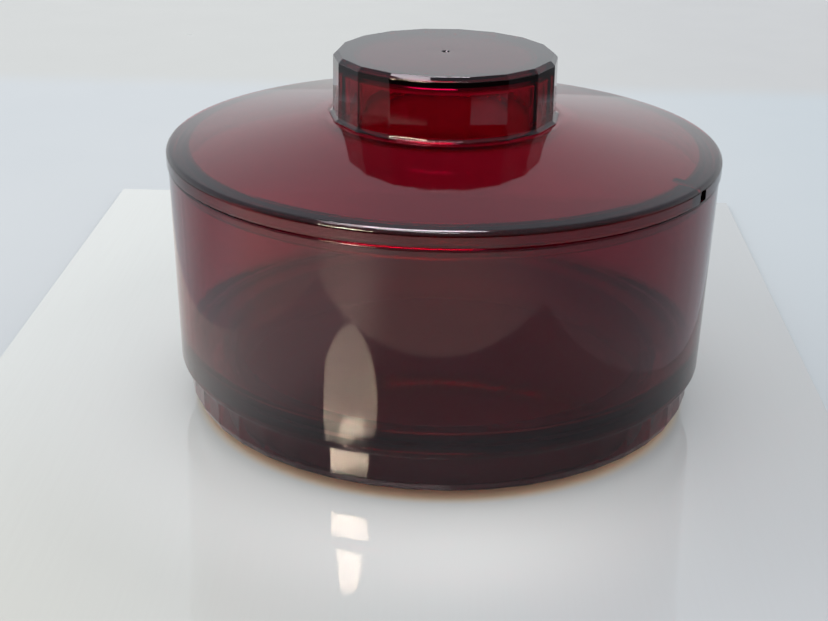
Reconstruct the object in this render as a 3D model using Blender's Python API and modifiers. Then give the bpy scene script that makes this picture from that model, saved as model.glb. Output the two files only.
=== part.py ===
"""Lidded yarn bowl in clear ruby plastic.

A tapered round bowl with a faceted skirt under its wall and a plain standing
ring inside the skirt, a low conical lid that drops into the bowl's mouth on a
locating ring, and a faceted hollow knob on the lid's flat seat.  A slot in the
lid's rim lets the working yarn out.

Units are metres, +Z is up.  The origin is the centre of the standing ring's
underside.  The lid, with its knob, lifts straight up along Z.
"""

import math

import bpy

MM = 0.001
GAP = 0.3 * MM               # clearance between neighbouring pieces
ROUND_STEPS = 88             # steps around the round bodies

# Bowl
RIM_Z = 71.1 * MM            # top of the rim
RIM_R = 77.05 * MM           # outer wall just under the rim's rounding
BASE_R = 75.9 * MM           # outer wall just above the step to the skirt
STEP_Z = 14.2 * MM           # underside of the base, where the skirt starts
FLOOR_Z = 17.6 * MM          # inside floor
WALL = 2.6 * MM              # wall thickness
INNER_FILLET = 6.0 * MM      # inside corner between floor and wall
OUTER_ROUND = 1.0 * MM       # outside corner above the skirt
RIM_ROUND = 0.7 * MM         # outer edge of the rim
RIM_CHAMFER = 0.5 * MM       # inner edge of the rim
WALL_TAPER = (RIM_R - BASE_R) / (RIM_Z - RIM_ROUND - STEP_Z - OUTER_ROUND)

# Skirt and standing ring both reach up into the base, to join it
JOIN_Z = STEP_Z + 1.2 * MM

# Skirt, a regular polygon ending clear of the table
SKIRT_SIDES = 44
SKIRT_PHASE = math.radians(2.75)
SKIRT_Z = 3.6 * MM           # lower edge
SKIRT_R = 73.4 * MM          # to the outer corners of the polygon
SKIRT_IN_R = 69.6 * MM       # to the inner corners
SKIRT_CHAMFER_H = 2.2 * MM   # lower outer edge
SKIRT_CHAMFER_W = 1.0 * MM
SKIRT_IN_CHAMFER = 0.6 * MM  # lower inner edge

# Standing ring, which carries the bowl
STAND_R = 63.6 * MM
STAND_IN_R = 60.0 * MM
STAND_ROUND = 0.5 * MM

# Lid
LID_R = 77.5 * MM            # outer radius of the rim
LID_EDGE_Z = 75.47 * MM      # where the cone would meet the outer radius
LID_SLOPE_DEG = 9.8
LID_PLATE = 2.6 * MM         # plate thickness, measured upright
LID_UNDER_Z = RIM_Z + GAP    # seating face of the rim
LID_ROUND = 1.5 * MM         # top edge of the rim
LID_LOW_ROUND = 0.5 * MM     # lower edge of the rim
SEAT_R = 33.0 * MM           # flat seat for the knob
SEAT_UNDER_INSET = 1.0 * MM  # how much smaller the flat is on the underside

# Locating ring under the lid, which drops into the bowl's mouth
RING_OUT_R = 73.7 * MM
RING_IN_R = 71.5 * MM
RING_Z = 67.2 * MM           # lower edge
RING_OUT_CHAMFER = 0.5 * MM
RING_IN_CHAMFER = 0.4 * MM
RING_CORNER = 1.0 * MM       # bevelled corner between ring and plate

# Yarn slot, cut by a bar through the lid's rim and the locating ring
SLOT_W = 3.8 * MM
SLOT_LENGTH = 12.0 * MM      # radial length of the bar
SLOT_MID_R = 74.5 * MM       # radius of the bar's centre
SLOT_TOP_Z = 74.6 * MM
SLOT_LOW_Z = 62.0 * MM
SLOT_ANGLE = math.radians(-29.9)   # direction of the slot, from +X
SLOT_ROUND = 1.0 * MM

# Knob, a regular polygon outside with a round bore open below
KNOB_SIDES = 18
KNOB_PHASE = math.radians(2.3)
KNOB_TOP_Z = 100.55 * MM
KNOB_R_TOP = 31.05 * MM      # to the corners of the polygon
KNOB_R_BASE = 31.2 * MM
KNOB_CHAMFER = 1.2 * MM
KNOB_FLARE = 1.0 * MM        # small flare where the knob meets the lid
KNOB_FOOT = 0.2 * MM         # upright edge under the flare
GATE_R = 1.2 * MM            # shallow moulding gate dimple on top
GATE_DEPTH = 0.35 * MM
GATE_TAPER = 0.3 * MM        # how much smaller its floor is in radius
BORE_STEPS = 54
BORE_R = 25.5 * MM
BORE_TOP_Z = 96.9 * MM
BORE_ROUND = 2.0 * MM
BORE_DRAFT = 0.2 * MM        # widening towards the open end
BORE_OVERCUT = 1.0 * MM      # how far the bore's cutter runs out below the knob


# ----------------------------------------------------------------------------
# Surfaces that several features follow
# ----------------------------------------------------------------------------
def wall_r(z):
    """Outer radius of the bowl's tapered wall at height z."""
    return BASE_R + WALL_TAPER * (z - STEP_Z - OUTER_ROUND)


def lid_top(r):
    """Height of the lid's conical top at radius r."""
    return LID_EDGE_Z + (LID_R - r) * math.tan(math.radians(LID_SLOPE_DEG))


SEAT_Z = lid_top(SEAT_R)


# ----------------------------------------------------------------------------
# Scene and materials
# ----------------------------------------------------------------------------
for old in list(bpy.data.objects):
    bpy.data.objects.remove(old, do_unlink=True)


def new_collection(name):
    collection = bpy.data.collections.new(name)
    bpy.context.scene.collection.children.link(collection)
    return collection


PARTS = new_collection("yarn_bowl")
CUTTERS = new_collection("cutters")


def plastic(name, colour, roughness, ior=1.49, transmission=0.85):
    """A tinted clear plastic; colour is linear RGB."""
    material = bpy.data.materials.new(name)
    material.use_nodes = True
    inputs = material.node_tree.nodes["Principled BSDF"].inputs
    inputs["Base Color"].default_value = (*colour, 1.0)
    inputs["Roughness"].default_value = roughness
    inputs["Metallic"].default_value = 0.0
    inputs["IOR"].default_value = ior
    inputs["Transmission Weight"].default_value = transmission
    material.diffuse_color = (*colour, 1.0)
    return material


RUBY_BOWL = plastic("ruby_bowl", colour=(0.16, 0.012, 0.022), roughness=0.07)
RUBY_LID = plastic("ruby_lid", colour=(0.22, 0.012, 0.028), roughness=0.06)
RUBY_KNOB = plastic("ruby_knob", colour=(0.27, 0.008, 0.026), roughness=0.05)


# ----------------------------------------------------------------------------
# Modelling helpers.  A profile is a list of (radius, height) points.
# ----------------------------------------------------------------------------
def arc(centre_r, centre_z, radius, start, end, steps):
    """Profile points on an arc, from start to end in degrees."""
    points = []
    for i in range(steps + 1):
        angle = math.radians(start + (end - start) * i / steps)
        points.append((
            centre_r + radius * math.cos(angle),
            centre_z + radius * math.sin(angle),
        ))
    return points


def turned(name, profile, steps, collection, closed=False):
    """A solid of revolution about Z, from a profile that runs down its outer side."""
    edges = [(i, i + 1) for i in range(len(profile) - 1)]
    if closed:
        edges.append((len(profile) - 1, 0))
    mesh = bpy.data.meshes.new(name)
    mesh.from_pydata([(r, 0.0, z) for r, z in profile], edges, [])
    obj = bpy.data.objects.new(name, mesh)
    collection.objects.link(obj)
    screw = obj.modifiers.new("Turn", "SCREW")
    screw.axis = "Z"
    screw.angle = 2.0 * math.pi
    screw.steps = steps
    screw.render_steps = steps
    screw.use_merge_vertices = True
    screw.merge_threshold = 0.01 * MM
    screw.use_smooth_shade = True
    return obj


def boolean(obj, form, operation):
    """Join or cut obj with a helper form, which is kept out of renders."""
    form.hide_render = True
    form.display_type = "WIRE"
    modifier = obj.modifiers.new(operation.title(), "BOOLEAN")
    modifier.operation = operation
    modifier.solver = "EXACT"
    modifier.object = form


def finish(obj, sharp_deg):
    """Bake the modifiers; shade smooth, but crisp at edges above sharp_deg."""
    graph = bpy.context.evaluated_depsgraph_get()
    mesh = bpy.data.meshes.new_from_object(obj.evaluated_get(graph), depsgraph=graph)
    mesh.name = obj.name
    obj.modifiers.clear()
    obj.data = mesh
    mesh.shade_smooth()
    mesh.set_sharp_from_angle(angle=math.radians(sharp_deg))


# ----------------------------------------------------------------------------
# Bowl: turned body with the skirt and the standing ring joined under it
# ----------------------------------------------------------------------------
def build_skirt():
    profile = [
        (SKIRT_IN_R, JOIN_Z),
        (SKIRT_R, JOIN_Z),
        (SKIRT_R, SKIRT_Z + SKIRT_CHAMFER_H),
        (SKIRT_R - SKIRT_CHAMFER_W, SKIRT_Z),
        (SKIRT_IN_R + SKIRT_IN_CHAMFER, SKIRT_Z),
        (SKIRT_IN_R, SKIRT_Z + SKIRT_IN_CHAMFER),
    ]
    skirt = turned("skirt_form", profile, SKIRT_SIDES, CUTTERS, closed=True)
    skirt.rotation_euler.z = SKIRT_PHASE
    return skirt


def build_standing_ring():
    profile = [
        (STAND_IN_R, JOIN_Z),
        (STAND_R, JOIN_Z),
        *arc(STAND_R - STAND_ROUND, STAND_ROUND, STAND_ROUND, start=0, end=-90, steps=2),
        *arc(STAND_IN_R + STAND_ROUND, STAND_ROUND, STAND_ROUND,
             start=-90, end=-180, steps=2),
    ]
    return turned("standing_ring_form", profile, ROUND_STEPS, CUTTERS, closed=True)


def build_bowl():
    fillet_z = FLOOR_Z + INNER_FILLET
    inner_base_r = wall_r(fillet_z) - WALL
    rim_in_r = wall_r(RIM_Z) - WALL
    profile = [
        (0.0, FLOOR_Z),
        *arc(inner_base_r - INNER_FILLET, fillet_z, INNER_FILLET,
             start=-90, end=0, steps=5),
        (rim_in_r, RIM_Z - RIM_CHAMFER),
        (rim_in_r + RIM_CHAMFER, RIM_Z),
        *arc(wall_r(RIM_Z - RIM_ROUND) - RIM_ROUND, RIM_Z - RIM_ROUND, RIM_ROUND,
             start=90, end=0, steps=3),
        *arc(BASE_R - OUTER_ROUND, STEP_Z + OUTER_ROUND, OUTER_ROUND,
             start=0, end=-90, steps=3),
        (0.0, STEP_Z),
    ]
    bowl = turned("bowl", profile, ROUND_STEPS, PARTS)
    boolean(bowl, build_skirt(), "UNION")
    boolean(bowl, build_standing_ring(), "UNION")
    bowl.data.materials.append(RUBY_BOWL)
    return bowl


# ----------------------------------------------------------------------------
# Lid: low cone with a flat seat, a rim over the bowl and a locating ring
# ----------------------------------------------------------------------------
def build_slot_cutter():
    """A rounded bar laid along the slot's direction."""
    bpy.ops.mesh.primitive_cube_add(size=1.0)
    slot = bpy.context.active_object
    slot.name = "yarn_slot_cutter"
    for collection in list(slot.users_collection):
        collection.objects.unlink(slot)
    CUTTERS.objects.link(slot)
    for vertex in slot.data.vertices:
        vertex.co.x *= SLOT_LENGTH
        vertex.co.y *= SLOT_W
        vertex.co.z *= SLOT_TOP_Z - SLOT_LOW_Z
    slot.location = (
        SLOT_MID_R * math.cos(SLOT_ANGLE),
        SLOT_MID_R * math.sin(SLOT_ANGLE),
        0.5 * (SLOT_TOP_Z + SLOT_LOW_Z),
    )
    slot.rotation_euler.z = SLOT_ANGLE
    bevel = slot.modifiers.new("Round", "BEVEL")
    bevel.width = SLOT_ROUND
    bevel.segments = 3
    return slot


def build_lid():
    # The rim's top rounding is tangent to the cone and to the upright edge.
    round_r = LID_R - LID_ROUND
    round_z = lid_top(round_r) - LID_ROUND / math.cos(math.radians(LID_SLOPE_DEG))
    corner_r = RING_IN_R - RING_CORNER
    seat_under_z = SEAT_Z - LID_PLATE
    profile = [
        (0.0, SEAT_Z),
        (SEAT_R, SEAT_Z),
        *arc(round_r, round_z, LID_ROUND, start=90 - LID_SLOPE_DEG, end=0, steps=4),
        *arc(LID_R - LID_LOW_ROUND, LID_UNDER_Z + LID_LOW_ROUND, LID_LOW_ROUND,
             start=0, end=-90, steps=2),
        (RING_OUT_R, LID_UNDER_Z),
        (RING_OUT_R, RING_Z + RING_OUT_CHAMFER),
        (RING_OUT_R - RING_OUT_CHAMFER, RING_Z),
        (RING_IN_R + RING_IN_CHAMFER, RING_Z),
        (RING_IN_R, RING_Z + RING_IN_CHAMFER),
        (RING_IN_R, lid_top(RING_IN_R) - LID_PLATE - RING_CORNER),
        (corner_r, lid_top(corner_r) - LID_PLATE),
        (SEAT_R - SEAT_UNDER_INSET, seat_under_z),
        (0.0, seat_under_z),
    ]
    lid = turned("lid", profile, ROUND_STEPS, PARTS)
    boolean(lid, build_slot_cutter(), "DIFFERENCE")
    lid.data.materials.append(RUBY_LID)
    return lid


# ----------------------------------------------------------------------------
# Knob: faceted cap with a round bore, standing on the lid's seat
# ----------------------------------------------------------------------------
def build_bore_cutter(knob_z):
    low_z = knob_z - BORE_OVERCUT
    profile = [
        (0.0, BORE_TOP_Z),
        *arc(BORE_R - BORE_ROUND, BORE_TOP_Z - BORE_ROUND, BORE_ROUND,
             start=90, end=0, steps=3),
        (BORE_R + BORE_DRAFT, low_z),
        (0.0, low_z),
    ]
    return turned("knob_bore_form", profile, BORE_STEPS, CUTTERS)


def build_knob():
    knob_z = SEAT_Z + GAP
    flare_r = KNOB_R_BASE + KNOB_FLARE
    profile = [
        (0.0, KNOB_TOP_Z - GATE_DEPTH),
        (GATE_R - GATE_TAPER, KNOB_TOP_Z - GATE_DEPTH),
        (GATE_R, KNOB_TOP_Z),
        (KNOB_R_TOP - KNOB_CHAMFER, KNOB_TOP_Z),
        (KNOB_R_TOP, KNOB_TOP_Z - KNOB_CHAMFER),
        *arc(flare_r, knob_z + KNOB_FOOT + KNOB_FLARE, KNOB_FLARE,
             start=180, end=270, steps=3),
        (flare_r, knob_z),
        (0.0, knob_z),
    ]
    knob = turned("knob", profile, KNOB_SIDES, PARTS)
    knob.rotation_euler.z = KNOB_PHASE
    boolean(knob, build_bore_cutter(knob_z), "DIFFERENCE")
    knob.data.materials.append(RUBY_KNOB)
    return knob


# ----------------------------------------------------------------------------
# Assembly
# ----------------------------------------------------------------------------
bowl = build_bowl()
lid = build_lid()
knob = build_knob()

# The knob rides on the lid, whose origin lies on its lifting axis.
knob.parent = lid

bpy.context.view_layer.update()
for part, sharp_deg in ((bowl, 7.0), (lid, 25.0), (knob, 16.0)):
    finish(part, sharp_deg)
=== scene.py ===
"""Studio scene for the lidded yarn bowl in clear ruby plastic.

The bowl stands on z = 0 with its axis on z and the camera on the -y side.  Bowl, lid
and knob are each a single closed mesh.  Their sizes, and the board's and table's, are
in millimetres; the lamps, camera and shading ranges are in metres.  Profiles are
lists of (radius, height) points.
"""

import math

import bpy
import numpy as np
from mathutils import Matrix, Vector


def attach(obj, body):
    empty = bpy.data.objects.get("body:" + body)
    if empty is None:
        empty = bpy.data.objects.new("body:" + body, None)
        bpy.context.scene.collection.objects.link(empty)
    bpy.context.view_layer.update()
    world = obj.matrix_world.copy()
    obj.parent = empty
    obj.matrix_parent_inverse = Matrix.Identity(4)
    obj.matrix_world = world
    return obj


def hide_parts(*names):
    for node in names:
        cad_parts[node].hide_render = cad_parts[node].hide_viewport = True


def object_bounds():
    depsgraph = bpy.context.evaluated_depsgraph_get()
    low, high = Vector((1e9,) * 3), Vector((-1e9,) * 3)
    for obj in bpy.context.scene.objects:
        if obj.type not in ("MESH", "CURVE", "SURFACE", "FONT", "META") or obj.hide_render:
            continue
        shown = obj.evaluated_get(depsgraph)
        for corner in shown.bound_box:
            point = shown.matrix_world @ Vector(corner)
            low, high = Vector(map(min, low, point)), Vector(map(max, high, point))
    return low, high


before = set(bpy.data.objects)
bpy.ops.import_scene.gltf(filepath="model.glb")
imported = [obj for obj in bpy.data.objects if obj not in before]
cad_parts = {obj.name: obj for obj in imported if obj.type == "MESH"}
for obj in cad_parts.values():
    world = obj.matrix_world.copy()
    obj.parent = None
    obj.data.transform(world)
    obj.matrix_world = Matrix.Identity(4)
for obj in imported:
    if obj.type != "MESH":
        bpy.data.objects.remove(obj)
CAD_BOX = [list(map(float, corner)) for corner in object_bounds()]

MM = 0.001


# ----------------------------------------------------------------------------
# Profile helpers
# ----------------------------------------------------------------------------
def arc(centre_r, centre_z, radius, start, end, steps):
    """Points on an arc, from start to end in degrees."""
    angles = [math.radians(start + (end - start) * i / steps) for i in range(steps + 1)]
    return [(centre_r + radius * math.cos(a), centre_z + radius * math.sin(a)) for a in angles]


def span(start, end, count):
    """Evenly spaced points between start and end, without either."""
    return [
        tuple(a + (b - a) * i / (count + 1) for a, b in zip(start, end))
        for i in range(1, count + 1)
    ]


def level(z, *radii):
    """Points at one height."""
    return [(r, z) for r in radii]


def polygon_factor(theta, sides, phase, soft):
    """Radius of a regular polygon over its corner radius.  Each corner is rounded
    within the angle soft on either side of it."""
    step = 2.0 * math.pi / sides
    local = (theta - phase) % step - 0.5 * step
    from_corner = 0.5 * step - abs(local)
    if from_corner >= soft:
        return math.cos(0.5 * step) / math.cos(local)
    edge = 0.5 * step - soft
    edge_factor = math.cos(0.5 * step) / math.cos(edge)
    slope = edge_factor * math.tan(edge)
    u = (soft - from_corner) / soft
    return edge_factor + slope * soft * (u - 0.5 * u * u)


def facet_angles(sides, phase, offsets):
    """Angles round a faceted piece; offsets are degrees from each facet's corner."""
    step = 360.0 / sides
    base = math.degrees(phase)
    return [math.radians(base + k * step + d) for k in range(sides) for d in offsets]


# ----------------------------------------------------------------------------
# Mesh helpers
# ----------------------------------------------------------------------------
def add_mesh(name, verts, faces):
    mesh = bpy.data.meshes.new(name)
    mesh.from_pydata(verts, [], faces)
    obj = bpy.data.objects.new(name, mesh)
    bpy.context.scene.collection.objects.link(obj)
    return obj


def turned_solid(name, thetas, profile):
    """A closed solid: profile(theta) gives the same number of points at every angle;
    the first and last are on the axis."""
    columns = [profile(theta) for theta in thetas]
    rows = len(columns[0])
    count = len(thetas)
    verts = [(0.0, 0.0, columns[0][0][1] * MM)]
    for j in range(1, rows - 1):
        for theta, column in zip(thetas, columns):
            r, z = column[j]
            verts.append((r * math.cos(theta) * MM, r * math.sin(theta) * MM, z * MM))
    verts.append((0.0, 0.0, columns[0][-1][1] * MM))
    end = len(verts) - 1

    def at(j, i):
        return 1 + (j - 1) * count + i % count

    faces = []
    for i in range(count):
        faces.append((0, at(1, i), at(1, i + 1)))
        faces.append((end, at(rows - 2, i + 1), at(rows - 2, i)))
        for j in range(1, rows - 2):
            faces.append((at(j, i), at(j + 1, i), at(j + 1, i + 1), at(j, i + 1)))
    obj = add_mesh(name, verts, faces)
    obj.data.validate()
    return obj


def signed_volume(mesh):
    mesh.calc_loop_triangles()
    points = np.zeros(len(mesh.vertices) * 3)
    mesh.vertices.foreach_get("co", points)
    points = points.reshape(-1, 3)
    corners = np.zeros(len(mesh.loop_triangles) * 3, dtype=np.int32)
    mesh.loop_triangles.foreach_get("vertices", corners)
    a, b, c = (points[column] for column in corners.reshape(-1, 3).T)
    return float(np.einsum("ij,ij->i", a, np.cross(b, c)).sum() / 6.0)


def face_outward(mesh):
    if signed_volume(mesh) < 0.0:
        mesh.flip_normals()


def apply_modifiers(obj):
    bpy.context.view_layer.update()
    graph = bpy.context.evaluated_depsgraph_get()
    mesh = bpy.data.meshes.new_from_object(obj.evaluated_get(graph), depsgraph=graph)
    obj.modifiers.clear()
    obj.data = mesh
    mesh.name = obj.name


def finish_piece(obj, material, sharp_deg=30.0):
    """Smooth shading with crisp edges above the given angle, and flat faces that keep
    their own normal right up to their softened edges."""
    mesh = obj.data
    face_outward(mesh)
    mesh.shade_smooth()
    mesh.set_sharp_from_angle(angle=math.radians(sharp_deg))
    mesh.update()
    even = obj.modifiers.new("Even", "WEIGHTED_NORMAL")
    even.mode = "FACE_AREA"
    even.weight = 50
    even.keep_sharp = True
    apply_modifiers(obj)
    obj.data.materials.append(material)
    return obj


# ----------------------------------------------------------------------------
# Node helpers
# ----------------------------------------------------------------------------
class Nodes:
    """Short calls for building the node tree of a material or world.  Any value may
    be a constant or another node's output socket."""

    def __init__(self, owner):
        owner.use_nodes = True
        self.tree = owner.node_tree
        self.tree.nodes.clear()

    def new(self, kind, inputs=None, **props):
        node = self.tree.nodes.new(kind)
        for key, value in props.items():
            setattr(node, key, value)
        for key, value in (inputs or {}).items():
            self.put(node.inputs[key], value)
        return node

    def put(self, socket, value):
        if isinstance(value, bpy.types.NodeSocket):
            self.tree.links.new(value, socket)
        elif socket.type == "RGBA":
            socket.default_value = (*value, 1.0)
        else:
            socket.default_value = value

    def math(self, op, *values):
        return self.new("ShaderNodeMath", dict(enumerate(values)), operation=op).outputs[0]

    def times(self, product, *factors):
        for factor in factors:
            product = self.math("MULTIPLY", product, factor)
        return product

    def scaled(self, value, by, plus):
        return self.math("MULTIPLY_ADD", value, by, plus)

    def inverse(self, value):
        return self.math("SUBTRACT", 1.0, value)

    def smooth(self, value, over, to=(0.0, 1.0)):
        """Ease from to[0] to to[1] as value goes from over[0] to over[1]."""
        inputs = {
            "Value": value,
            "From Min": over[0],
            "From Max": over[1],
            "To Min": to[0],
            "To Max": to[1],
        }
        node = self.new("ShaderNodeMapRange", inputs, interpolation_type="SMOOTHSTEP")
        return node.outputs["Result"]

    def ramp(self, value, stops):
        node = self.new("ShaderNodeValToRGB", {"Fac": value})
        elements = node.color_ramp.elements
        while len(elements) < len(stops):
            elements.new(0.5)
        for element, (position, colour) in zip(elements, stops):
            element.position = position
            element.color = (*colour, 1.0)
        return node.outputs["Color"]

    def mix(self, fac, first, second, mode="MIX"):
        inputs = {0: fac, 6: first, 7: second}
        return self.new("ShaderNodeMix", inputs, data_type="RGBA", blend_type=mode).outputs[2]

    def mix_shader(self, fac, first, second):
        return self.new("ShaderNodeMixShader", {0: fac, 1: first, 2: second}).outputs["Shader"]

    def diffuse(self, colour):
        return self.new("ShaderNodeBsdfDiffuse", {"Color": colour}).outputs["BSDF"]

    def noise(self, coord, scale, detail=3.0, rough=0.5, warp=0.0):
        inputs = {
            "Vector": coord,
            "Scale": scale,
            "Detail": detail,
            "Roughness": rough,
            "Distortion": warp,
        }
        return self.new("ShaderNodeTexNoise", inputs).outputs["Fac"]

    def mapping(self, coord, scale, turn=(0.0, 0.0, 0.0)):
        inputs = {"Vector": coord, "Scale": scale, "Rotation": turn}
        return self.new("ShaderNodeMapping", inputs).outputs["Vector"]

    def split(self, vector):
        return self.new("ShaderNodeSeparateXYZ", {"Vector": vector}).outputs


# ----------------------------------------------------------------------------
# Ruby plastic
# ----------------------------------------------------------------------------
# Hairline scratches, long one way: scale per axis, rotation, noise range that shows
SCRATCHES = (
    ((30.0, 2200.0, 900.0), (0.2, 0.1, 0.7), (0.66, 0.74)),
    ((2000.0, 40.0, 700.0), (0.1, -0.2, -0.4), (0.67, 0.75)),
)


def handling_marks(n, place, rough):
    """Roughness and bump normal from dull patches, fine grain and scratches."""
    patch = n.noise(place, scale=26.0, detail=4.0, rough=0.55, warp=0.4)
    patch = n.smooth(patch, over=(0.50, 0.74))
    grain = n.noise(place, scale=900.0, detail=2.0, rough=0.6)
    lines = [
        n.smooth(n.noise(n.mapping(place, scale, turn), scale=1.0, detail=2.0), over=shown)
        for scale, turn, shown in SCRATCHES
    ]
    where = n.smooth(n.noise(place, scale=14.0, detail=2.0), over=(0.45, 0.62))
    scratch = n.times(n.math("MAXIMUM", *lines), where)

    roughness = n.scaled(patch, by=0.0225, plus=rough)
    roughness = n.scaled(grain, by=0.012, plus=roughness)
    roughness = n.scaled(scratch, by=0.05, plus=roughness)

    # Scratches cut in, grain stands out a little and a slow ripple most
    height = n.scaled(scratch, by=-0.6, plus=n.times(grain, 0.25))
    ripple = n.times(n.noise(place, scale=45.0, detail=2.0), 2.0)
    height = n.math("ADD", height, ripple)
    bump = {"Strength": 0.10, "Distance": 0.00004, "Height": height}
    return roughness, n.new("ShaderNodeBump", bump).outputs["Normal"]


def dust_cover(n, place):
    """Share of sparse settled dust, only on faces that look up."""
    normal = n.new("ShaderNodeNewGeometry").outputs["Normal"]
    upward = n.smooth(n.split(normal)["Z"], over=(0.35, 0.9))
    cells = n.new("ShaderNodeTexVoronoi", {"Vector": place, "Scale": 210.0}, feature="F1")
    speck = n.smooth(cells.outputs["Distance"], over=(0.020, 0.045), to=(1.0, 0.0))
    pick = n.new("ShaderNodeSeparateColor", {"Color": cells.outputs["Color"]})
    clean_share, opacity = 0.90, 0.35
    chosen = n.math("GREATER_THAN", pick.outputs["Red"], clean_share)
    return n.times(speck, chosen, upward, opacity)


def ruby(name, tint, absorb, seed, rough=0.035, haze=0.0, deep=None):
    """Clear dyed plastic.  tint colours each surface, absorb is the dye's absorption
    per millimetre for red, green and blue, haze the share of milky scatter.
    deep=(low, high) darkens the tint upwards between two heights."""
    mat = bpy.data.materials.new(name)
    n = Nodes(mat)
    coord = n.new("ShaderNodeTexCoord").outputs["Object"]
    shift = (0.37 * seed, -0.21 * seed, 0.13 * seed)
    shifted = n.new("ShaderNodeVectorMath", {0: coord, 1: shift}, operation="ADD")
    place = shifted.outputs["Vector"]

    # Slow drift in the dye
    drift = n.noise(place, scale=9.0, detail=2.0, rough=0.5, warp=0.6)
    pale, strong = 0.93, 1.05
    colour = n.mix(
        n.smooth(drift, over=(0.35, 0.68)),
        [c * pale for c in tint],
        [min(1.0, c * strong) for c in tint],
    )
    if deep:
        thick = n.smooth(n.split(coord)["Z"], over=deep)
        darker = n.mix(1.0, colour, (0.22, 0.20, 0.28), mode="MULTIPLY")
        colour = n.mix(thick, colour, darker)

    roughness, normal = handling_marks(n, place, rough)
    plastic = n.new("ShaderNodeBsdfPrincipled", {
        "Base Color": colour,
        "Roughness": roughness,
        "Normal": normal,
        "IOR": 1.49,
        "Transmission Weight": 1.0,
        "Specular Tint": (0.97, 0.90, 1.0),
    }).outputs["BSDF"]
    lint = n.diffuse((0.50, 0.46, 0.45))
    dusty = n.mix_shader(dust_cover(n, place), plastic, lint)
    milky = n.diffuse((0.36, 0.02, 0.05))
    cloud = n.times(n.smooth(drift, over=(0.2, 0.8), to=(0.8, 1.2)), haze)

    density = max(absorb) / MM
    dye = n.new("ShaderNodeVolumeAbsorption", {
        "Density": density,
        "Color": [1.0 - a / MM / density for a in absorb],
    })
    n.new("ShaderNodeOutputMaterial", {
        "Surface": n.mix_shader(cloud, dusty, milky),
        "Volume": dye.outputs["Volume"],
    })
    return mat


RUBY_BOWL = ruby(
    "ruby_bowl_plastic", tint=(0.77, 0.34, 0.52), absorb=(0.215, 0.95, 0.58), seed=1.0, haze=0.008
)
RUBY_LID = ruby(
    "ruby_lid_plastic", tint=(0.91, 0.32, 0.48), absorb=(0.17, 0.95, 0.56), seed=2.0
)
RUBY_KNOB = ruby(
    "ruby_knob_plastic", tint=(0.95, 0.24, 0.54), absorb=(0.115, 0.80, 0.33), seed=3.0,
    rough=0.02, deep=(0.0950, 0.0980),
)

# ----------------------------------------------------------------------------
# Bowl: a tapered wall on a stepped underside with a faceted skirt and a plain ring
# ----------------------------------------------------------------------------
RIM_Z, RIM_R, BASE_R = 71.1, 77.05, 75.9
STEP_Z, FLOOR_Z, WALL = 14.2, 17.6, 2.6
INNER_FILLET, OUTER_ROUND = 6.0, 1.0
RIM_ROUND, RIM_IN_ROUND = 0.7, 0.5
WALL_MARGIN = 0.25  # from the outer rounds to the first rows of the wall
FLOOR_RING_R = 6.0  # innermost ring of points on the floor and underside

SKIRT_SIDES, SKIRT_Z, SKIRT_R, SKIRT_IN_R = 44, 3.6, 73.4, 69.6
SKIRT_PHASE = math.radians(2.75)
SKIRT_CHAMFER_H, SKIRT_CHAMFER_W = 2.2, 1.0
SKIRT_ROOT, SKIRT_ROUND = 0.35, 0.25
SKIRT_ROUND_RISE, SKIRT_ROUND_INSET = 0.06, 0.14  # centres of the chamfer's two rounds
SKIRT_SOFT_DEG = 0.22
SKIRT_STEP = 360.0 / SKIRT_SIDES
SKIRT_OFFSETS = (
    0.0, 0.1, SKIRT_SOFT_DEG, 0.3, 1.0, 2.0, 3.0, 4.0, 5.0, 6.0, 7.0,
    SKIRT_STEP - 0.3, SKIRT_STEP - SKIRT_SOFT_DEG, SKIRT_STEP - 0.1,
)
STAND_R, STAND_IN_R, STAND_ROUND = 63.6, 60.0, 0.5
FOOT_ROUND = 0.6  # the skirt's inner edge and the roots of skirt and ring

WALL_TAPER = (RIM_R - BASE_R) / (RIM_Z - RIM_ROUND - STEP_Z - OUTER_ROUND)


def wall_r(z):
    """Outer radius of the tapered wall at height z."""
    return BASE_R + WALL_TAPER * (z - STEP_Z - OUTER_ROUND)


def bowl_inside():
    """From the centre of the floor up the wall and over the rim's inner edge."""
    fillet_z = FLOOR_Z + INNER_FILLET
    fillet_r = wall_r(fillet_z) - WALL - INNER_FILLET
    rim_in = wall_r(RIM_Z) - WALL
    points = level(FLOOR_Z, 0.0, FLOOR_RING_R)
    points += span(points[-1], (fillet_r, FLOOR_Z), 3)
    points += arc(fillet_r, fillet_z, INNER_FILLET, -90, 0, 12)
    points += span(points[-1], (rim_in, RIM_Z - RIM_IN_ROUND), 4)
    points += arc(rim_in + RIM_IN_ROUND, RIM_Z - RIM_IN_ROUND, RIM_IN_ROUND, 180, 90, 5)
    return points


def bowl_outside():
    """From the rim's outer edge down the wall to the step."""
    round_z = RIM_Z - RIM_ROUND
    points = arc(wall_r(round_z) - RIM_ROUND, round_z, RIM_ROUND, 90, 0, 7)
    top_z = round_z - WALL_MARGIN
    foot_z = STEP_Z + OUTER_ROUND + WALL_MARGIN
    top, foot = (wall_r(top_z), top_z), (wall_r(foot_z), foot_z)
    points += [top] + span(top, foot, 4) + [foot]
    points += arc(BASE_R - OUTER_ROUND, STEP_Z + OUTER_ROUND, OUTER_ROUND, 0, -90, 8)
    return points


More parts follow.
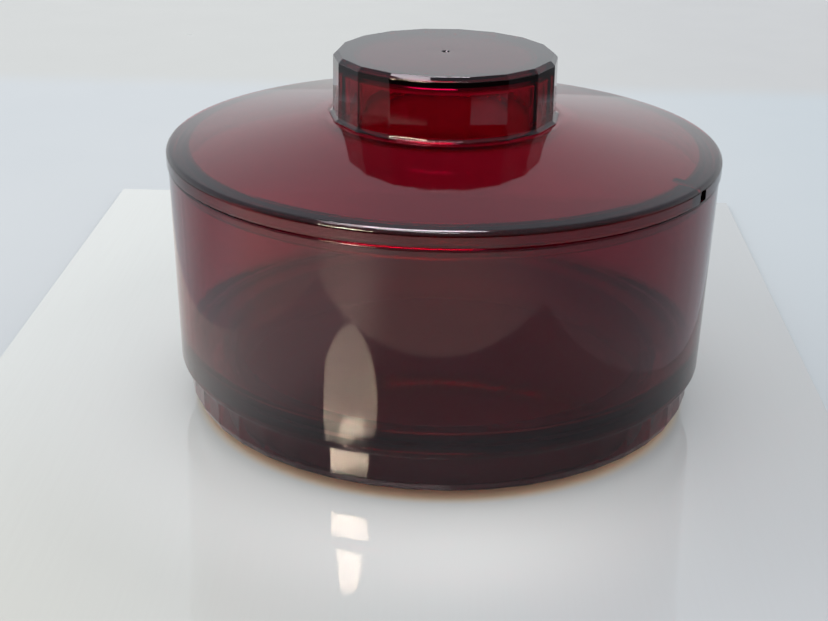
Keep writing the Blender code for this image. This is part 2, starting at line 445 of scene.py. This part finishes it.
def bowl_underside(theta):
    """The faceted skirt, the plain standing ring inside it and the flat underside."""
    soft = math.radians(SKIRT_SOFT_DEG)
    skirt = SKIRT_R * polygon_factor(theta, SKIRT_SIDES, SKIRT_PHASE, soft)
    points = arc(skirt + SKIRT_ROOT, STEP_Z - SKIRT_ROOT, SKIRT_ROOT, 90, 180, 4)
    lean = math.degrees(math.atan2(SKIRT_CHAMFER_H, SKIRT_CHAMFER_W)) - 90.0
    upper_z = SKIRT_Z + SKIRT_CHAMFER_H + SKIRT_ROUND_RISE
    points += arc(skirt - SKIRT_ROUND, upper_z, SKIRT_ROUND, 0, lean, 3)
    lower_r = skirt - SKIRT_CHAMFER_W - SKIRT_ROUND_INSET
    points += arc(lower_r, SKIRT_Z + SKIRT_ROUND, SKIRT_ROUND, lean, -90, 4)
    points += arc(SKIRT_IN_R + FOOT_ROUND, SKIRT_Z + FOOT_ROUND, FOOT_ROUND, -90, -180, 4)
    root_z = STEP_Z - FOOT_ROUND
    points += arc(SKIRT_IN_R - FOOT_ROUND, root_z, FOOT_ROUND, 0, 90, 4)
    points += arc(STAND_R + FOOT_ROUND, root_z, FOOT_ROUND, 90, 180, 4)
    points += arc(STAND_R - STAND_ROUND, STAND_ROUND, STAND_ROUND, 0, -90, 4)
    points += arc(STAND_IN_R + STAND_ROUND, STAND_ROUND, STAND_ROUND, -90, -180, 4)
    points += arc(STAND_IN_R - FOOT_ROUND, root_z, FOOT_ROUND, 0, 90, 4)
    return points + level(STEP_Z, 48.0, 30.0, FLOOR_RING_R, 0.0)


def bowl_profile(theta):
    return bowl_inside() + bowl_outside() + bowl_underside(theta)


bowl_angles = facet_angles(SKIRT_SIDES, SKIRT_PHASE, SKIRT_OFFSETS)
bowl = finish_piece(turned_solid("bowl_body", bowl_angles, bowl_profile), RUBY_BOWL)

# ----------------------------------------------------------------------------
# Lid: a shallow cone with a flat seat for the knob and a locating ring below
# ----------------------------------------------------------------------------
LID_R, LID_EDGE_Z, LID_PLATE = 77.5, 75.47, 2.6
LID_SLOPE_DEG = 9.8
LID_SLOPE = math.radians(LID_SLOPE_DEG)
LID_UNDER_Z, LID_ROUND, LID_UNDER_ROUND = 71.4, 1.5, 0.4
SEAT_R = 33.0
RING_OUT_R, RING_IN_R, RING_Z = 73.7, 71.5, 67.2
RING_OUT_ROOT, RING_IN_ROOT = 0.3, 1.0
RING_OUT_ROUND, RING_IN_ROUND = 0.5, 0.4

# The bar that cuts the slot: width across, length along its radius
SLOT_W, SLOT_LENGTH, SLOT_CENTRE_R = 3.8, 12.0, 74.5
SLOT_TOP_Z, SLOT_BOTTOM_Z = 74.6, 62.0
SLOT_ANGLE, SLOT_ROUND = math.radians(-29.9), 1.0


def lid_top(r):
    """Height of the lid's sloping top at radius r."""
    return LID_EDGE_Z + (LID_R - r) * math.tan(LID_SLOPE)


def lid_profile(_theta):
    """The same at every angle: over the top, round the ring and back underneath."""
    normal_deg = 90 - LID_SLOPE_DEG
    points = level(lid_top(SEAT_R), 0.0, 8.0, 20.0, SEAT_R - 0.6)
    # The bend from seat to slope is eased over three points
    points += [(SEAT_R, lid_top(SEAT_R) - 0.02), (SEAT_R + 0.6, lid_top(SEAT_R + 0.6) - 0.01)]
    points.append((SEAT_R + 1.4, lid_top(SEAT_R + 1.4)))
    round_r = LID_R - LID_ROUND
    round_z = lid_top(round_r) - LID_ROUND / math.cos(LID_SLOPE)
    shoulder = arc(round_r, round_z, LID_ROUND, normal_deg, 0, 10)
    points += span(points[-1], shoulder[0], 7)
    points += [(round_r - 0.05, lid_top(round_r - 0.05))] + shoulder
    edge = LID_UNDER_ROUND
    points += arc(LID_R - edge, LID_UNDER_Z + edge, edge, 0, -90, 5)
    root = RING_OUT_ROOT
    points += arc(RING_OUT_R + root, LID_UNDER_Z - root, root, 90, 180, 4)
    points += arc(RING_OUT_R - RING_OUT_ROUND, RING_Z + RING_OUT_ROUND, RING_OUT_ROUND, 0, -90, 5)
    points += arc(RING_IN_R + RING_IN_ROUND, RING_Z + RING_IN_ROUND, RING_IN_ROUND, -90, -180, 5)
    under = lid_top(RING_IN_R) - LID_PLATE
    root = RING_IN_ROOT
    points += arc(RING_IN_R - root, under - root, root, 0, normal_deg, 5)
    centre = level(lid_top(SEAT_R) - LID_PLATE, SEAT_R - 1.0, 20.0, 8.0, 0.0)
    return points + span(points[-1], centre[0], 5) + centre


def cut_slot(lid):
    """Take a rounded bar out of the rim and the locating ring."""
    bpy.ops.mesh.primitive_cube_add(size=1.0)
    bar = bpy.context.active_object
    bar.name = "slot_bar"
    for v in bar.data.vertices:
        v.co.x *= SLOT_LENGTH * MM
        v.co.y *= SLOT_W * MM
        v.co.z *= (SLOT_TOP_Z - SLOT_BOTTOM_Z) * MM
    bar.location = (
        SLOT_CENTRE_R * MM * math.cos(SLOT_ANGLE),
        SLOT_CENTRE_R * MM * math.sin(SLOT_ANGLE),
        0.5 * MM * (SLOT_TOP_Z + SLOT_BOTTOM_Z),
    )
    bar.rotation_euler = (0.0, 0.0, SLOT_ANGLE)
    bevel = bar.modifiers.new("Round", "BEVEL")
    bevel.width = SLOT_ROUND * MM
    bevel.segments = 6
    cut = lid.modifiers.new("Slot", "BOOLEAN")
    cut.operation = "DIFFERENCE"
    cut.solver = "EXACT"
    cut.object = bar
    apply_modifiers(lid)
    bpy.data.objects.remove(bar, do_unlink=True)


lid = turned_solid("lid_shell", [math.radians(i) for i in range(360)], lid_profile)
face_outward(lid.data)
cut_slot(lid)
finish_piece(lid, RUBY_LID)

# ----------------------------------------------------------------------------
# Knob: a faceted cap with a chamfered top, a flared foot and a round bore from below
# ----------------------------------------------------------------------------
KNOB_SIDES, KNOB_PHASE = 18, math.radians(2.3)
KNOB_TOP_Z, KNOB_R_TOP, KNOB_R_BASE = 100.55, 31.05, 31.2
KNOB_CHAMFER, KNOB_EDGE_ROUND = 1.2, 0.45
KNOB_FLARE, KNOB_FLARE_Z = 1.0, 0.18  # radius of the flare, height of its low side
KNOB_SEAT_GAP = 0.12
KNOB_Z = lid_top(SEAT_R) + KNOB_SEAT_GAP
KNOB_SOFT_DEG = 0.4
KNOB_OFFSETS = (
    0.0, 0.18, KNOB_SOFT_DEG, 0.5, 2.5, 5.0, 7.5, 10.0, 12.5, 15.0, 17.5, 19.5, 19.6, 19.82,
)
BORE_R, BORE_TOP_Z, BORE_ROUND = 25.5, 96.9, 2.0
BORE_DRAFT, BORE_MOUTH_ROUND = 0.2, 0.3
GATE_R, GATE_DEPTH = 1.2, 0.35  # the dimple in the centre of the top


def knob_profile(theta):
    factor = polygon_factor(theta, KNOB_SIDES, KNOB_PHASE, math.radians(KNOB_SOFT_DEG))
    top = KNOB_R_TOP * factor
    gate_z = KNOB_TOP_Z - GATE_DEPTH
    points = level(gate_z, 0.0, 0.5)
    points += [(GATE_R - 0.3, gate_z + 0.03), (GATE_R, KNOB_TOP_Z - 0.05)]
    points += level(KNOB_TOP_Z, GATE_R + 0.25, 8.0, 18.0)
    # Chamfer with softly broken edges
    soft = KNOB_EDGE_ROUND
    reach = soft * math.tan(math.radians(22.5))
    points += arc(top - KNOB_CHAMFER - reach, KNOB_TOP_Z - soft, soft, 90, 45, 4)
    points += arc(top - soft, KNOB_TOP_Z - KNOB_CHAMFER - reach, soft, 45, 0, 4)
    foot = KNOB_R_BASE * factor + KNOB_FLARE
    flare = arc(foot, KNOB_Z + KNOB_FLARE_Z + KNOB_FLARE, KNOB_FLARE, 180, 262, 8)
    points += span(points[-1], flare[0], 3) + flare
    points += [(foot, KNOB_Z + 0.1), (foot - 0.05, KNOB_Z), (28.5, KNOB_Z)]
    # Round bore, open below
    mouth = BORE_MOUTH_ROUND
    points += arc(BORE_R + BORE_DRAFT + mouth, KNOB_Z + mouth, mouth, -90, -180, 4)
    points += span(points[-1], (BORE_R, BORE_TOP_Z - BORE_ROUND), 3)
    points += arc(BORE_R - BORE_ROUND, BORE_TOP_Z - BORE_ROUND, BORE_ROUND, 0, 90, 8)
    return points + level(BORE_TOP_Z, 16.0, 8.0, 2.0, 0.0)


knob_angles = facet_angles(KNOB_SIDES, KNOB_PHASE, KNOB_OFFSETS)
knob = finish_piece(turned_solid("knob_cap", knob_angles, knob_profile), RUBY_KNOB)

for piece, body, slot_name, node in (
    (bowl, "bowl", "ruby_bowl", "bowl"),
    (lid, "lid", "ruby_lid", "lid"),
    (knob, "lid", "ruby_knob", "knob"),
):
    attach(piece, body)
    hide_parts(node)


# ----------------------------------------------------------------------------
# Stage: a pale table with a pale board laid on it
# ----------------------------------------------------------------------------
def stage_polygon(name, corners):
    obj = add_mesh(name, corners, [tuple(range(len(corners)))])
    return obj


def lamplit(n, x, y, path):
    """Extra light on the lamp's side of the stage, seen only in the bowl's gloss."""
    strength = 0.42
    return {
        "Emission Color": (0.97, 0.97, 0.94),
        "Emission Strength": n.times(
            n.smooth(x, over=(-0.040, -0.100)),
            path["Is Glossy Ray"],
            n.smooth(x, over=(-0.340, -0.300)),
            n.smooth(y, over=(-0.290, -0.240)),
            n.smooth(y, over=(0.020, -0.050)),
            n.inverse(path["Is Transmission Ray"]),
            strength,
        ),
    }


def board_look(n, position, x, y, path):
    # Painted light: darker to the right, away from the soft light on the left, and warmer at the
    # front left, where the warm lamp's light falls
    side = n.smooth(x, over=(-0.14, 0.13))
    colour = n.mix(side, (0.725, 0.785, 0.790), (0.520, 0.568, 0.596))
    front = n.smooth(y, over=(-0.16, 0.02), to=(1.0, 0.0))
    near = n.mix(n.smooth(x, over=(-0.12, 0.05)), (0.88, 0.86, 0.82), (1.02, 1.02, 1.04))
    colour = n.mix(front, colour, n.mix(1.0, colour, near, mode="MULTIPLY"))
    # Faint grain along y
    streaks = n.mapping(position, scale=(900.0, 25.0, 1.0))
    grain = n.noise(streaks, scale=1.0, detail=3.0, rough=0.6)
    grain = n.smooth(grain, over=(0.3, 0.75), to=(0.0, 0.05))
    colour = n.mix(grain, colour, (0.48, 0.48, 0.49))
    # Painted light: a pale glow round the bowl, for light its walls throw onto the board, and a
    # painted warm tint in the shade under its skirt, for light coming through the red plastic
    r = n.math("SQRT", n.math("ADD", n.times(x, x), n.times(y, y)))
    painted_glow = n.times(
        n.smooth(r, over=(0.088, 0.132), to=(1.0, 0.0)),
        n.smooth(x, over=(-0.11, 0.02), to=(0.3, 1.0)),
        n.smooth(x, over=(0.00, 0.08), to=(1.0, 0.10)),
    )
    colour = n.mix(painted_glow, colour, (0.905, 0.968, 0.985))
    under = n.smooth(r, over=(0.0690, 0.0735), to=(1.0, 0.0))
    painted_tint_under_skirt = 0.95
    colour = n.mix(n.times(under, painted_tint_under_skirt), colour, (1.0, 0.82, 0.57))
    # Painted reflection: seen in the bowl's gloss, the board is brighter at the left and dimmer
    # from the middle rightwards
    glossy = path["Is Glossy Ray"]
    lift = n.times(glossy, n.smooth(x, over=(-0.060, -0.110), to=(0.0, 0.55)))
    colour = n.mix(lift, colour, (0.92, 0.88, 0.84))
    shade = n.math(
        "ADD",
        n.smooth(x, over=(-0.090, -0.020), to=(0.0, 0.30)),
        n.smooth(x, over=(0.06, 0.11), to=(0.0, -0.10)),
    )
    return {
        "Base Color": n.mix(n.times(glossy, shade), colour, (0.02, 0.02, 0.02)),
        "Roughness": n.scaled(n.noise(position, scale=60.0), by=0.016, plus=0.006),
        "IOR": 1.45,
        "Specular IOR Level": 0.62,
    }


def table_look(n, position, x, y, path):
    cloud = n.smooth(n.noise(position, scale=5.0), over=(0.3, 0.7))
    colour = n.mix(cloud, (0.575, 0.645, 0.695), (0.60, 0.665, 0.71))
    # Painted light falloff: darker and bluer to the right, away from the light on the left
    colour = n.mix(n.smooth(x, over=(0.0, 0.25)), colour, (0.50, 0.59, 0.655))
    # The far part of the table turns to a plain neutral tone, also painted darker to the right
    far = n.smooth(y, over=(0.345, 0.385))
    plain = n.mix(n.smooth(x, over=(-0.1, 0.2)), (0.582, 0.624, 0.628), (0.52, 0.557, 0.581))
    colour = n.mix(far, colour, plain)
    # Painted reflection: seen in gloss, the front is warm and the right a little dim
    glossy = path["Is Glossy Ray"]
    warm = n.times(n.smooth(y, over=(-0.02, -0.10)), n.smooth(x, over=(0.16, 0.02)), glossy)
    colour = n.mix(warm, colour, (0.96, 0.88, 0.80))
    right = n.times(n.smooth(x, over=(0.08, 0.15), to=(0.0, 0.12)), glossy)
    colour = n.mix(right, colour, (0.02, 0.02, 0.02))
    # Painted reflection of a dim room: towards the viewer and at the sides it falls dark, hidden
    # from the camera
    dark = n.smooth(y, over=(-0.290, -0.320))
    beside = n.smooth(y, over=(0.330, 0.250))
    for over, amount in (((0.300, 0.330), 0.9), ((-0.330, -0.360), 0.6)):
        edge = n.times(beside, n.smooth(x, over, to=(0.0, amount)))
        dark = n.math("MAXIMUM", dark, edge)
    unseen = n.inverse(path["Is Camera Ray"])
    return {
        "Base Color": n.mix(n.times(dark, unseen), colour, (0.035, 0.022, 0.022)),
        "Roughness": n.scaled(n.noise(position, scale=30.0), by=0.1, plus=0.25),
        "Specular IOR Level": n.scaled(n.times(dark, unseen), by=-0.3, plus=0.3),
    }


def stage_material(name, look):
    mat = bpy.data.materials.new(name)
    n = Nodes(mat)
    position = n.new("ShaderNodeNewGeometry").outputs["Position"]
    axes = n.split(position)
    x, y = axes["X"], axes["Y"]
    path = n.new("ShaderNodeLightPath").outputs
    inputs = {**look(n, position, x, y, path), **lamplit(n, x, y, path)}
    bsdf = n.new("ShaderNodeBsdfPrincipled", inputs)
    n.new("ShaderNodeOutputMaterial", {"Surface": bsdf.outputs["BSDF"]})
    return mat


BOARD = ((-133.0, 176.0), (-138.5, -157.0), (111.0, -162.5), (117.5, 175.0))
TABLE = ((-6000, -6000), (6000, -6000), (6000, 6000), (-6000, 6000))
TABLE_Z = -1.2

for name, outline, z, look in (
    ("board", BOARD, 0.0, board_look),
    ("table", TABLE, TABLE_Z, table_look),
):
    slab = stage_polygon(name, [(x * MM, y * MM, z * MM) for x, y in outline])
    slab.data.materials.append(stage_material(name + "_white", look))


# ----------------------------------------------------------------------------
# Light: a broad soft surround, a warm lamp front left and two ceiling panels
# ----------------------------------------------------------------------------
def glowing(name, corners, colour, strength, fade=None):
    """A lit flat shape that shows only in glossy and clear surfaces.  With
    fade=(low, high, share) it rises from that share to full between two heights."""
    obj = stage_polygon(name, [tuple(corner) for corner in corners])
    obj.visible_camera = False
    obj.visible_diffuse = False
    mat = bpy.data.materials.new(name)
    n = Nodes(mat)
    glow = n.new("ShaderNodeEmission", {"Color": colour, "Strength": strength})
    if fade:
        low, high, share = fade
        z = n.split(n.new("ShaderNodeNewGeometry").outputs["Position"])["Z"]
        rise = n.smooth(z, over=(low, high), to=(share * strength, strength))
        # Nothing of it is seen from inside the plastic
        depth = n.new("ShaderNodeLightPath").outputs["Transmission Depth"]
        bare = n.inverse(n.math("MINIMUM", depth, 1.0))
        n.put(glow.inputs["Strength"], n.times(rise, bare))
    n.new("ShaderNodeOutputMaterial", {"Surface": glow.outputs["Emission"]})
    obj.data.materials.append(mat)


PANEL_TARGET = np.array((0.0, 0.0, 0.04))


def panel(name, centre, width, height, colour, strength):
    """A lit rectangle facing PANEL_TARGET."""
    centre = np.array(centre, float)
    look = PANEL_TARGET - centre
    look /= np.linalg.norm(look)
    across = np.cross(look, (0.0, 0.0, 1.0))
    across /= np.linalg.norm(across)
    up = np.cross(across, look)
    corners = [
        centre + side * across * width / 2 + end * up * height / 2
        for side, end in ((-1, -1), (1, -1), (1, 1), (-1, 1))
    ]
    glowing(name, corners, colour, strength)


# The lamp stands upright, square to the direction LAMP_OUT from LAMP_AIM
WARM = (1.0, 0.85, 0.58)
LAMP_TURN = math.radians(-128.5)
LAMP_AIM, LAMP_DISTANCE = np.array((-0.025, -0.073, 0.0)), 0.600
LAMP_OUT = np.array((math.cos(LAMP_TURN), math.sin(LAMP_TURN), 0.0))
LAMP_ACROSS = np.array((-math.sin(LAMP_TURN), math.cos(LAMP_TURN), 0.0))
LAMP_FOOT = LAMP_AIM + LAMP_DISTANCE * LAMP_OUT

# Outlines: (across, height)
SHADE = (
    (0.010, 0.241), (0.048, 0.246), (0.086, 0.256), (0.120, 0.272), (0.144, 0.297),
    (0.150, 0.324), (0.140, 0.338), (-0.120, 0.338), (-0.130, 0.324), (-0.124, 0.297),
    (-0.100, 0.272), (-0.066, 0.256), (-0.028, 0.246),
)
BULB = (
    (-0.022, 0.312), (0.058, 0.312), (0.072, 0.322), (0.072, 0.331), (-0.040, 0.331),
    (-0.040, 0.322),
)
TOP = (
    (-0.050, 0.361), (0.075, 0.361), (0.070, 0.386), (0.045, 0.402), (-0.020, 0.402),
    (-0.045, 0.386),
)

# Name, outline, strength, place along LAMP_OUT, fade
for name, outline, strength, push, fade in (
    ("lamp_shade", SHADE, 44.0, 0.0, (0.245, 0.310, 0.60)),
    ("lamp_bulb", BULB, 150.0, -0.003, (0.311, 0.325, 0.35)),
    ("lamp_top", TOP, 110.0, 0.0, (0.350, 0.352, 1.0)),
):
    foot = LAMP_FOOT + LAMP_OUT * push
    corners = [foot + LAMP_ACROSS * a + np.array((0.0, 0.0, z)) for a, z in outline]
    glowing(name, corners, WARM, strength, fade)

panel(
    "ceiling_light", centre=(-0.10, 0.38, 1.30), width=0.50, height=0.70,
    colour=(1.0, 0.97, 0.99), strength=18.0,
)
panel(
    "ceiling_strip", centre=(-0.24, -0.27, 1.30), width=0.90, height=0.26,
    colour=(1.0, 0.97, 0.95), strength=11.0,
)

# Surround colours from the horizon (0) to overhead (1), behind and before the bowl
BACK_SKY = (
    (0.0, (0.80, 0.83, 0.85)),
    (0.20, (0.86, 0.89, 0.92)),
    (0.38, (0.72, 0.76, 0.80)),
    (0.62, (0.53, 0.56, 0.62)),
    (1.0, (0.42, 0.41, 0.44)),
)
FRONT_SKY = (
    (0.0, (0.16, 0.15, 0.15)),
    (0.25, (0.22, 0.20, 0.20)),
    (0.55, (0.40, 0.36, 0.37)),
    (0.80, (0.46, 0.43, 0.45)),
    (1.0, (0.46, 0.45, 0.47)),
)


def build_world():
    world = bpy.data.worlds.new("surround")
    bpy.context.scene.world = world
    n = Nodes(world)
    world.cycles.sampling_method = "NONE"
    axes = n.split(n.new("ShaderNodeTexCoord").outputs["Generated"])
    back = n.ramp(axes["Z"], BACK_SKY)
    front = n.ramp(axes["Z"], FRONT_SKY)
    colour = n.mix(n.smooth(axes["Y"], over=(-0.55, 0.45)), front, back)
    # Matt surfaces gather an even soft light
    diffuse = n.new("ShaderNodeLightPath").outputs["Is Diffuse Ray"]
    background = n.new("ShaderNodeBackground", {
        "Color": n.mix(diffuse, colour, (1.13, 1.08, 1.06)),
        "Strength": n.scaled(axes["X"], by=-0.12, plus=1.0),
    })
    n.new("ShaderNodeOutputWorld", {"Surface": background.outputs["Background"]})


build_world()

# ----------------------------------------------------------------------------
# Camera and render
# ----------------------------------------------------------------------------
CAMERA_PLACE = (0.0, -0.39203, 0.18935)
YAW, PITCH, ROLL = -0.019381, 0.401783, 0.016001  # radians: right of +y, down, tilt


def add_camera():
    forward = np.array([
        math.sin(YAW) * math.cos(PITCH),
        math.cos(YAW) * math.cos(PITCH),
        -math.sin(PITCH),
    ])
    right = np.cross(forward, (0.0, 0.0, 1.0))
    right /= np.linalg.norm(right)
    up = np.cross(right, forward)
    rolled_right = math.cos(ROLL) * right + math.sin(ROLL) * up
    rolled_up = -math.sin(ROLL) * right + math.cos(ROLL) * up
    rows = np.column_stack((rolled_right, rolled_up, -forward, CAMERA_PLACE)).tolist()

    data = bpy.data.cameras.new("camera")
    data.sensor_width = 36.0
    data.sensor_fit = "HORIZONTAL"
    data.lens = 62.41
    data.clip_start = 0.02
    data.clip_end = 50.0
    camera = bpy.data.objects.new("camera", data)
    bpy.context.scene.collection.objects.link(camera)
    camera.matrix_world = Matrix((*rows, (0.0, 0.0, 0.0, 1.0)))
    bpy.context.scene.camera = camera


add_camera()

view = bpy.context.scene.view_settings
view.view_transform = "Standard"
view.look = "None"
view.exposure = 0.0
view.gamma = 1.0
cycles = bpy.context.scene.cycles
cycles.max_bounces = 26
cycles.diffuse_bounces = 5
cycles.glossy_bounces = 14
cycles.transmission_bounces = 24
cycles.transparent_max_bounces = 16
cycles.sample_clamp_indirect = 60.0


# ----------------------------------------------------------------------------
# Sizes, beside the CAD's
# ----------------------------------------------------------------------------
def visual_box(objects):
    """Lowest and highest corner of the objects, in metres."""
    bpy.context.view_layer.update()
    points = [o.matrix_world @ v.co for o in objects for v in o.data.vertices]
    return [[pick(p[i] for p in points) for i in range(3)] for pick in (min, max)]


({
        "cad": CAD_BOX,
        "visual": visual_box([bowl, lid, knob]),
    })
